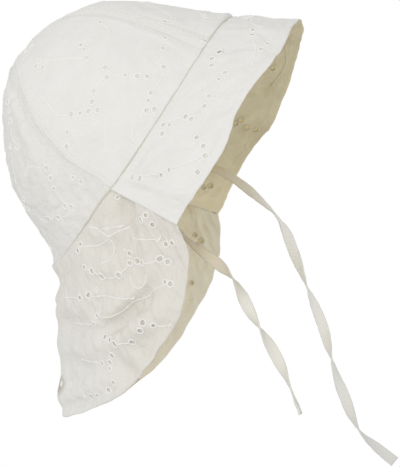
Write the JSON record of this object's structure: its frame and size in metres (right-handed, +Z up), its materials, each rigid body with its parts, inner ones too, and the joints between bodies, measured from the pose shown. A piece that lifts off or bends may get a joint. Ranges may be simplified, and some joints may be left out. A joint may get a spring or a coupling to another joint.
{
  "type": "child sun hat",
  "caption": "Soft cotton child's sun hat: rounded crown of curved gores, sloping brim round the face, long flap over the neck, and narrow flat ties hanging free from inside the head seam.",
  "frame": {"origin": "head seat: the highest point inside the crown, where the top of a head bears", "axes": "+X towards the face, +Y to the wearer's left, +Z up; the head opening is raised 24 degrees at the front, as the hat is carried, and the ties hang along -Z"},
  "size_m": [0.2481, 0.1942, 0.3368],
  "materials": {
    "eyelet_cotton": "matte woven cotton with raised embroidery and stitched eyelets",
    "woven_tape": "soft matte woven tape"
  },
  "bodies": {
    "root": {"crown_front": "eyelet_cotton", "crown_side_right": "eyelet_cotton", "crown_side_left": "eyelet_cotton", "crown_back_right": "eyelet_cotton", "crown_back_left": "eyelet_cotton", "brim": "eyelet_cotton", "neck_flap": "eyelet_cotton", "tie_right": "woven_tape", "tie_left": "woven_tape"}
  },
  "joints": []
}
